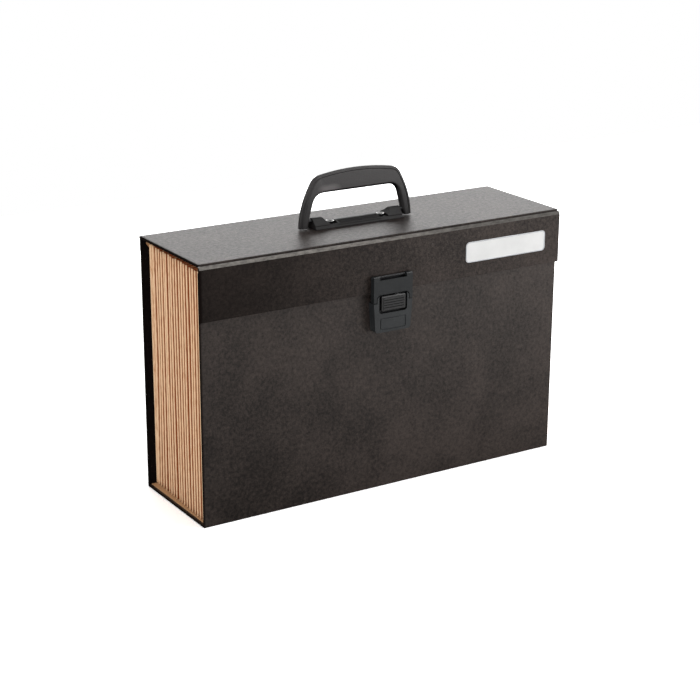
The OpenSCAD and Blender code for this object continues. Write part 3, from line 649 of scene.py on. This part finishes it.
def fold_shift(side, i, z):
    """How far a fold line wanders at a height: (towards the end of the case, along the depth)."""
    seed = 11.3 if side > 0 else 4.7
    bundle = noise.noise(Vector((i * 0.21, z * 5.5, seed)))
    own = noise.noise(Vector((i * 2.3, z * 7.0, seed + 7)))
    crush = noise.noise(Vector((i * 1.1, z * 3.0, seed + 19)))
    rear_slack = -REAR_SLACK * math.exp(-((i - 2) / 7) ** 2) * min(1.0, max(0.0, z / CASE_TOP - 0.05) * 2)
    along = settle(i) * (1.1 * bundle + 0.35 * own + rear_slack) * MM
    out = settle(i) * (0.5 * crush + 0.2 * own) * MM
    return out, along


def fold_row(side, z_share, trims):
    """One row of points round every fold at a share of the height, with the fold value of each."""
    row = []
    for i in range(FOLDS + 1):
        low = FOLD_LOW.z + trims["low"][i]
        high = FOLD_HIGH.z + trims["high"][i]
        z = low + (high - low) * z_share
        out, along = fold_shift(side, i, z)
        ridge = i % 2 == 0
        depth = FOLD_DEPTH * (1 - FIRST_FOLD_OPEN * math.exp(-(i / FIRST_FOLDS) ** 2))
        x = HALF_LEN - fold_inset(i) - (0 if ridge else depth) + min(out, 1.2 * MM)
        y = fold_y(i) + along
        radius = RIDGE_RADIUS if ridge else VALLEY_RADIUS
        sign = 1 if ridge else -1
        turns = (-75, -40, 0, 40, 75) if ridge else (-60, 0, 60)
        if i in (0, FOLDS):
            turns = (0,)
        for turn in turns:
            angle = math.radians(turn)
            px = x - sign * radius * (1 - math.cos(angle))
            py = y - radius * math.sin(angle)
            row.append((Vector((side * px, py, z)), 1.0 if ridge else 0.0))
        if i < FOLDS:
            # Fold value halfway between ridge and valley, which sets the painted shade there; the first
            # folds' walls get a value near the ridge's, so less painted shade
            row.append((None, 0.55 + 0.42 * math.exp(-(i / FIRST_FOLDS) ** 2)))
    for k, (point, value) in enumerate(row):
        if point is None:
            a, b = row[k - 1][0], row[k + 1][0]
            row[k] = ((a + b) / 2, value)
    return row


def gusset(side, name, cad_node):
    """One pleated end: soft ridges and valleys that wander, with unevenly trimmed ends."""
    draws = random.Random(31 if side > 0 else 17)
    trims = {
        "high": [draws.uniform(-0.6, 0.7) * MM - (0.4 * MM if i % 2 else 0) for i in range(FOLDS + 1)],
        "low": [draws.uniform(-0.1, 0.8) * MM for i in range(FOLDS + 1)],
    }
    for i in range(FOLDS):
        trims["high"][i] -= TOP_TRIM
    shape = bmesh.new()
    fold = shape.verts.layers.float.new("fold")
    grid = []
    for r in range(GUSSET_ROWS + 1):
        line = []
        for point, value in fold_row(side, r / GUSSET_ROWS, trims):
            vert = shape.verts.new(point)
            vert[fold] = value
            line.append(vert)
        grid.append(line)
    for below, above in zip(grid, grid[1:]):
        for a, b, c, d in zip(below, below[1:], above[1:], above):
            shape.faces.new((a, b, c, d))
    bmesh.ops.recalc_face_normals(shape, faces=shape.faces)
    bmesh.ops.solidify(shape, geom=shape.faces[:], thickness=SHEET_T * 0.85)
    piece = new_piece(name, shape, FOLDED_KRAFT)
    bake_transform(piece)
    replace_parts(piece, cad_node)


gusset(1, "right_pleats", "right_gusset")
gusset(-1, "left_pleats", "left_gusset")


def divider_outline(half, tab_x, low, high):
    """Upright sheet with an index tab whose corners are rounded."""
    left, right, top = tab_x - TAB_W / 2, tab_x + TAB_W / 2, high + TAB_RISE
    slope, round_r = 2.5 * MM, 1.6 * MM
    points = [(-half, low), (half, low), (half, high), (right + slope, high)]
    for centre, start in (((right - round_r, top - round_r), 10), ((left + round_r, top - round_r), 90)):
        for step in range(4):
            angle = math.radians(start + 26 * step)
            points.append((centre[0] + round_r * math.cos(angle), centre[1] + round_r * math.sin(angle)))
    return points + [(left - slope, high), (-half, high)]


def divider(k):
    """One divider sheet, which follows the folds that it is glued into."""
    name = f"divider_{k:02d}"
    half = HALF_LEN - fold_inset(2 * k) - DIVIDER_END_GAP
    place = (k - 1) % TAB_PLACES
    tab_x = (place - (TAB_PLACES - 1) / 2) * (2 * (half - TAB_MARGIN) - TAB_W) / (TAB_PLACES - 1)
    y = fold_y(2 * k)
    outline = divider_outline(half, tab_x, FOLD_LOW.z + 0.6 * MM, FOLD_HIGH.z - 0.8 * MM)
    shape = extruded(outline, "y", y - SHEET_T / 2, y + SHEET_T / 2)
    cut_evenly(shape, 0, 20 * MM, -half, half)
    cut_evenly(shape, 2, 20 * MM, FOLD_LOW.z, FOLD_HIGH.z)
    for vert in shape.verts:
        share = vert.co.x / half
        side = 1 if share > 0 else -1
        hold = max(0.0, abs(share) - 0.72) / 0.28
        _, along = fold_shift(side, 2 * k, vert.co.z)
        wave = noise.noise(Vector((vert.co.x * 9, vert.co.z * 9, k * 5.1)))
        vert.co.y += along * hold * hold + 0.8 * MM * wave * (1 - hold)
    piece = new_piece(f"pocket_{name}", shape, KRAFT, smooth=False)
    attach(piece, name)
    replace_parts(piece, name)


for number in range(1, POCKETS):
    divider(number)


# Handle bail

def bezier(a, b, c, t):
    return tuple((1 - t) ** 2 * p + 2 * t * (1 - t) * q + t * t * r for p, q, r in zip(a, b, c))


def bail_halves():
    """Outer and inner edge of the bail's right half, from foot to crown, in millimetres about the frame."""
    foot, top, half = BAIL_FOOT_Z / MM, BAIL_TOP_Z / MM, BAIL_HALF / MM
    shoulder, under = top - BAIL_SHOULDER, top - BAIL_GRIP

    def side_x(z):
        return half - BAIL_SIDE_LEAN * (z - foot) - BAIL_SIDE_CURVE * (z - foot) ** 2

    def crown_z(x):
        return top - BAIL_CROWN_CURVE * x * x

    heights = [foot + (shoulder - foot) * i / 14 for i in range(15)]
    outer = [(side_x(z), z) for z in heights]
    bend = ((side_x(shoulder), shoulder), (half - 15.6, top - 5), (half - 21, crown_z(half - 21)))
    outer += [bezier(*bend, i / 12) for i in range(1, 13)]
    outer += [((half - 21) * (1 - i / 14), crown_z((half - 21) * (1 - i / 14))) for i in range(1, 15)]
    inner = [(half - 9.8, foot), (half - 10.4, foot + 4), (half - 11.2, foot + 8), (half - 12.15, foot + 12),
             (half - 13.2, foot + 16), (half - 14.1, foot + 19.4), (half - 14.8, foot + 22)]
    inner += [bezier((half - 15.3, foot + 23.8), (half - 17.8, under), (half - 26.9, under), i / 12)
              for i in range(13)]
    inner += [((half - 26.9) * (1 - i / 10), under) for i in range(1, 11)]
    return outer, inner


def resample(points, count):
    """The same line with evenly spaced points."""
    points = [Vector(p) for p in points]
    lengths = [0.0]
    for a, b in zip(points, points[1:]):
        lengths.append(lengths[-1] + (b - a).length)
    result, k = [], 0
    for i in range(count):
        want = lengths[-1] * i / (count - 1)
        while k < len(points) - 2 and lengths[k + 1] < want:
            k += 1
        share = (want - lengths[k]) / (lengths[k + 1] - lengths[k])
        result.append(points[k].lerp(points[k + 1], share))
    return result


def smoothed(points, rounds=3):
    for _ in range(rounds):
        between = [(a + 2 * b + c) / 4 for a, b, c in zip(points, points[1:], points[2:])]
        points = [points[0]] + between + [points[-1]]
    return points


def inward(points, sign):
    """Unit directions into the material, level at both feet."""
    result = []
    for i in range(len(points)):
        along = points[min(i + 1, len(points) - 1)] - points[max(i - 1, 0)]
        side = Vector((along.y, -along.x)) * sign
        if i in (0, len(points) - 1):
            side.y = 0
        result.append(side.normalized())
    return result


def handle_bail():
    """The bail as a section carried along it: flat face, rimmed outer edge, rounded back."""
    outer, inner = bail_halves()
    outer = smoothed(resample(outer + [(-x, z) for x, z in outer[-2::-1]], BAIL_STATIONS))
    inner = smoothed(resample(inner + [(-x, z) for x, z in inner[-2::-1]], BAIL_STATIONS))
    outer_in, inner_in = inward(outer, -1), inward(inner, 1)
    shape = bmesh.new()
    rings = []
    for a, into_a, b, into_b in zip(outer, outer_in, inner, inner_in):
        ring = [(a + into_a * offset, y) for offset, y in BAIL_OUTER_SECTION]
        ring += [(b + into_b * offset, y) for offset, y in BAIL_INNER_SECTION]
        rings.append(ring)
    for place in (0, -1):
        middle = sum((p for p, _ in rings[place]), Vector((0, 0))) / len(rings[place])
        end = [(middle + (p - middle) * 0.93, y * 0.9) for p, y in rings[place]]
        lifted = [(Vector((p.x, p.y + 0.45)), y) for p, y in rings[place]]
        rings[place] = lifted
        rings.insert(0 if place == 0 else len(rings), end)
    made = [[shape.verts.new((p.x * MM, y * MM, p.y * MM)) for p, y in ring] for ring in rings]
    for a, b in zip(made, made[1:]):
        for k in range(len(a)):
            n = (k + 1) % len(a)
            shape.faces.new((a[k], a[n], b[n], b[k]))
    shape.faces.new(made[0])
    shape.faces.new(made[-1])
    bmesh.ops.recalc_face_normals(shape, faces=shape.faces)
    piece = even_normals(new_piece("carry_bail", shape, HANDLE_PLASTIC))
    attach(piece, "handle")
    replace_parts(piece, "handle_bail")


handle_bail()


# Rivets of the handle

def lathe(profile, centre, steps=40):
    """A closed ring profile of (radius, height), turned about a vertical axis."""
    shape = bmesh.new()
    rings = []
    for s in range(steps):
        angle = 2 * math.pi * s / steps
        rings.append([shape.verts.new((centre[0] + r * math.cos(angle), centre[1] + r * math.sin(angle), z))
                      for r, z in profile])
    for a, b in zip(rings, rings[1:] + rings[:1]):
        for k in range(len(profile)):
            n = (k + 1) % len(profile)
            shape.faces.new((a[k], a[n], b[n], b[k]))
    bmesh.ops.recalc_face_normals(shape, faces=shape.faces)
    return shape


def handle_rivet(name, x):
    """A hollow rivet: a bright dish round a bore above the handle base, and a rim under the lid; the bore and
    the head's outer edge take blackened steel as painted shade.
    """
    low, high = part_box("handle_rivets")
    head_r, bore_r, shank_r, dish_r = 3.95 * MM, 1.15 * MM, 1.9 * MM, 2.8 * MM
    foot_r, top = 3.0 * MM, high.z + RIVET_RISE
    seat = top - RIVET_HEAD_T
    profile = [(bore_r, low.z), (foot_r - 0.6 * MM, low.z), (foot_r, low.z + 0.25 * MM),
               (foot_r, low.z + 0.6 * MM), (shank_r, low.z + 0.6 * MM), (shank_r, seat),
               (head_r, seat), (head_r, top - 0.25 * MM), (head_r - 0.1 * MM, top - 0.06 * MM),
               (head_r - 0.35 * MM, top), (dish_r, top - 0.85 * MM), (dish_r - 0.15 * MM, top - 1.0 * MM),
               (shank_r - 0.4 * MM, seat - 0.35 * MM), (bore_r, seat - 0.8 * MM),
               (bore_r, (low.z + seat) / 2)]
    shape = lathe(profile, (x, 0))
    # Painted shade: the faces inside the dish, the bore and the head's outer edge take blackened steel
    for face in shape.faces:
        middle = face.calc_center_median()
        reach = math.hypot(middle.x - x, middle.y)
        dark = reach < dish_r or reach > head_r - 0.06 * MM
        face.material_index = 1 if dark and middle.z > (low.z + seat) / 2 else 0
    piece = new_piece(name, shape, BRIGHT_METAL)
    piece.data.materials.append(BLACK_STEEL)
    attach(piece, "lid")
    return piece


RIVET_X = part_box("handle_rivets")[1].x - 3.6 * MM
for rivet_name, rivet_x in (("left_handle_rivet", -RIVET_X), ("right_handle_rivet", RIVET_X)):
    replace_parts(handle_rivet(rivet_name, rivet_x), "handle_rivets")


# Solids that keep their own shape, with softened edges

def soften(name, material, width, segments=3):
    """A solid's own shape with small rounded edges."""
    target = frame["nodes"][name]
    dress(target, material)
    weld = target.modifiers.new("weld", "WELD")
    weld.merge_threshold = 0.002 * MM
    flat = target.modifiers.new("flat faces", "DECIMATE")
    flat.decimate_type = "DISSOLVE"
    flat.angle_limit = math.radians(1)
    edge = target.modifiers.new("rounded edges", "BEVEL")
    edge.width = width
    edge.segments = segments
    edge.limit_method = "ANGLE"
    edge.angle_limit = math.radians(32)
    even_normals(target)


for solid_name, solid_material, edge_width in (
        ("handle_base", BASE_PLASTIC, 0.35 * MM),
        ("hasp_plate", HASP_PLASTIC, 0.30 * MM),
        ("lock_housing", LOCK_PLASTIC, 0.30 * MM),
        ("lock_button", BUTTON_PLASTIC, 0.28 * MM),
        ("label_plate", LABEL, 0.10 * MM),
        ("label_rim", SATIN_METAL, 0.18 * MM),
        ("hasp_bracket", BLACK_STEEL, 0.15 * MM),
        ("lock_catch", BLACK_STEEL, 0.12 * MM)):
    soften(solid_name, solid_material, edge_width)

for solid_name, solid_material in (
        ("rear_corner_strip", EDGE_PAPER_PAINTED_SHADE), ("rear_edge_tapes", EDGE_PAPER_PAINTED_SHADE), ("bottom_sheet", KRAFT),
        ("rear_end_sheet", KRAFT), ("front_end_sheet", KRAFT), ("handle_pins", BLACK_STEEL),
        ("handle_washer_plate", STEEL), ("hasp_rivets", STEEL), ("hasp_pin", STEEL),
        ("lock_back_plate", BLACK_STEEL), ("button_spring", STEEL), ("lock_rivets", STEEL),
        ("lock_washer_plate", STEEL)):
    dress(frame["nodes"][solid_name], solid_material)


# Floor, light and camera

def floor():
    """Pale floor: white where the camera sees it unshaded; gloss sees it only in front of the case."""
    shape = bmesh.new()
    bmesh.ops.create_grid(shape, x_segments=8, y_segments=8, size=FLOOR_HALF)
    for vert in shape.verts:
        vert.co.z = -FLOOR_DROP
        vert.co.y = min(vert.co.y, FLOOR_REAR)
    material, tree, shader = new_material("pale floor", Roughness=0.9, Specular_IOR_Level=0.0)
    path = node(tree, "ShaderNodeLightPath")
    tooth = noise_value(tree, coordinates(tree), 40, 3, 0.5)
    plain = mix_colour(tree, remap(tree, tooth, 0.3, 0.7), (0.80, 0.80, 0.80), (0.78, 0.78, 0.78))
    forward = node(tree, "ShaderNodeSeparateXYZ", {"Vector": coordinates(tree)}).outputs["Y"]
    gloss = mix_colour(tree, remap(tree, forward, -0.10, -0.45), (0.04, 0.04, 0.04), (0.75, 0.75, 0.75))
    plain = mix_colour(tree, path.outputs["Is Glossy Ray"], plain, gloss)
    plug(tree, shader, Base_Color=mix_colour(tree, path.outputs["Is Camera Ray"], plain, (2.1, 2.1, 2.1)))
    made = new_piece("floor", shape, material)


def world():
    """White to the camera, nearly dark to gloss and a plain grey light to everything else."""
    made = bpy.data.worlds.new("studio")
    made.use_nodes = True
    tree = made.node_tree
    tree.nodes.clear()
    path = node(tree, "ShaderNodeLightPath")
    seen = math_node(tree, "MAXIMUM", path.outputs["Is Camera Ray"], path.outputs["Is Transmission Ray"])
    mirrored = math_node(tree, "MULTIPLY", path.outputs["Is Glossy Ray"], WORLD_IN_GLOSS)
    lit = math_node(tree, "MULTIPLY", path.outputs["Is Diffuse Ray"], WORLD_LIGHT)
    strength = math_node(tree, "MAXIMUM", math_node(tree, "MAXIMUM", seen, mirrored), lit)
    background = node(tree, "ShaderNodeBackground", {"Color": (1, 1, 1, 1), "Strength": strength})
    out = node(tree, "ShaderNodeOutputWorld", {"Surface": background.outputs[0]})
    bpy.context.scene.world = made
    return out


def soft_lamp(name, place, aim, size, power, colour=(1, 1, 1)):
    data = bpy.data.lights.new(name, "AREA")
    data.shape = "RECTANGLE"
    data.size, data.size_y = size
    data.energy = power
    data.color = colour
    lamp = bpy.data.objects.new(name, data)
    lamp.location = place
    lamp.rotation_euler = (Vector(aim) - Vector(place)).to_track_quat("-Z", "Y").to_euler()
    bpy.context.scene.collection.objects.link(lamp)


def camera():
    azimuth, elevation, roll = (math.radians(a) for a in (CAMERA_AZIMUTH, CAMERA_ELEVATION, CAMERA_ROLL))
    back = Vector((math.sin(azimuth) * math.cos(elevation), -math.cos(azimuth) * math.cos(elevation),
                   math.sin(elevation)))
    level = Vector((math.cos(azimuth), math.sin(azimuth), 0))
    above = back.cross(level)
    right = level * math.cos(roll) + above * math.sin(roll)
    up = above * math.cos(roll) - level * math.sin(roll)
    data = bpy.data.cameras.new("camera")
    data.lens = CAMERA_LENS
    data.sensor_width = 36.0
    data.clip_start, data.clip_end = 0.05, 60.0
    made = bpy.data.objects.new("camera", data)
    place = right * CAMERA_RIGHT + up * CAMERA_UP + back * CAMERA_BACK
    turn = Matrix((right, up, back)).transposed().to_4x4()
    made.matrix_world = Matrix.Translation(place) @ turn
    bpy.context.scene.collection.objects.link(made)
    bpy.context.scene.camera = made


camera()
floor()
world()
MIDDLE = (0, 0, 0.13)
soft_lamp("rear softbox", (1.3, 2.1, 0.9), MIDDLE, (3.0, 1.2), 40)
soft_lamp("top softbox", (0.9, -0.5, 1.7), MIDDLE, (0.7, 0.5), 9)
soft_lamp("front right softbox", (1.45, -1.45, 0.35), MIDDLE, (1.0, 1.1), 17)
soft_lamp("left softbox", (-1.7, -0.5, 0.75), MIDDLE, (0.9, 1.2), 13)
bpy.context.scene.view_settings.view_transform = "Standard"

bpy.context.view_layer.update()
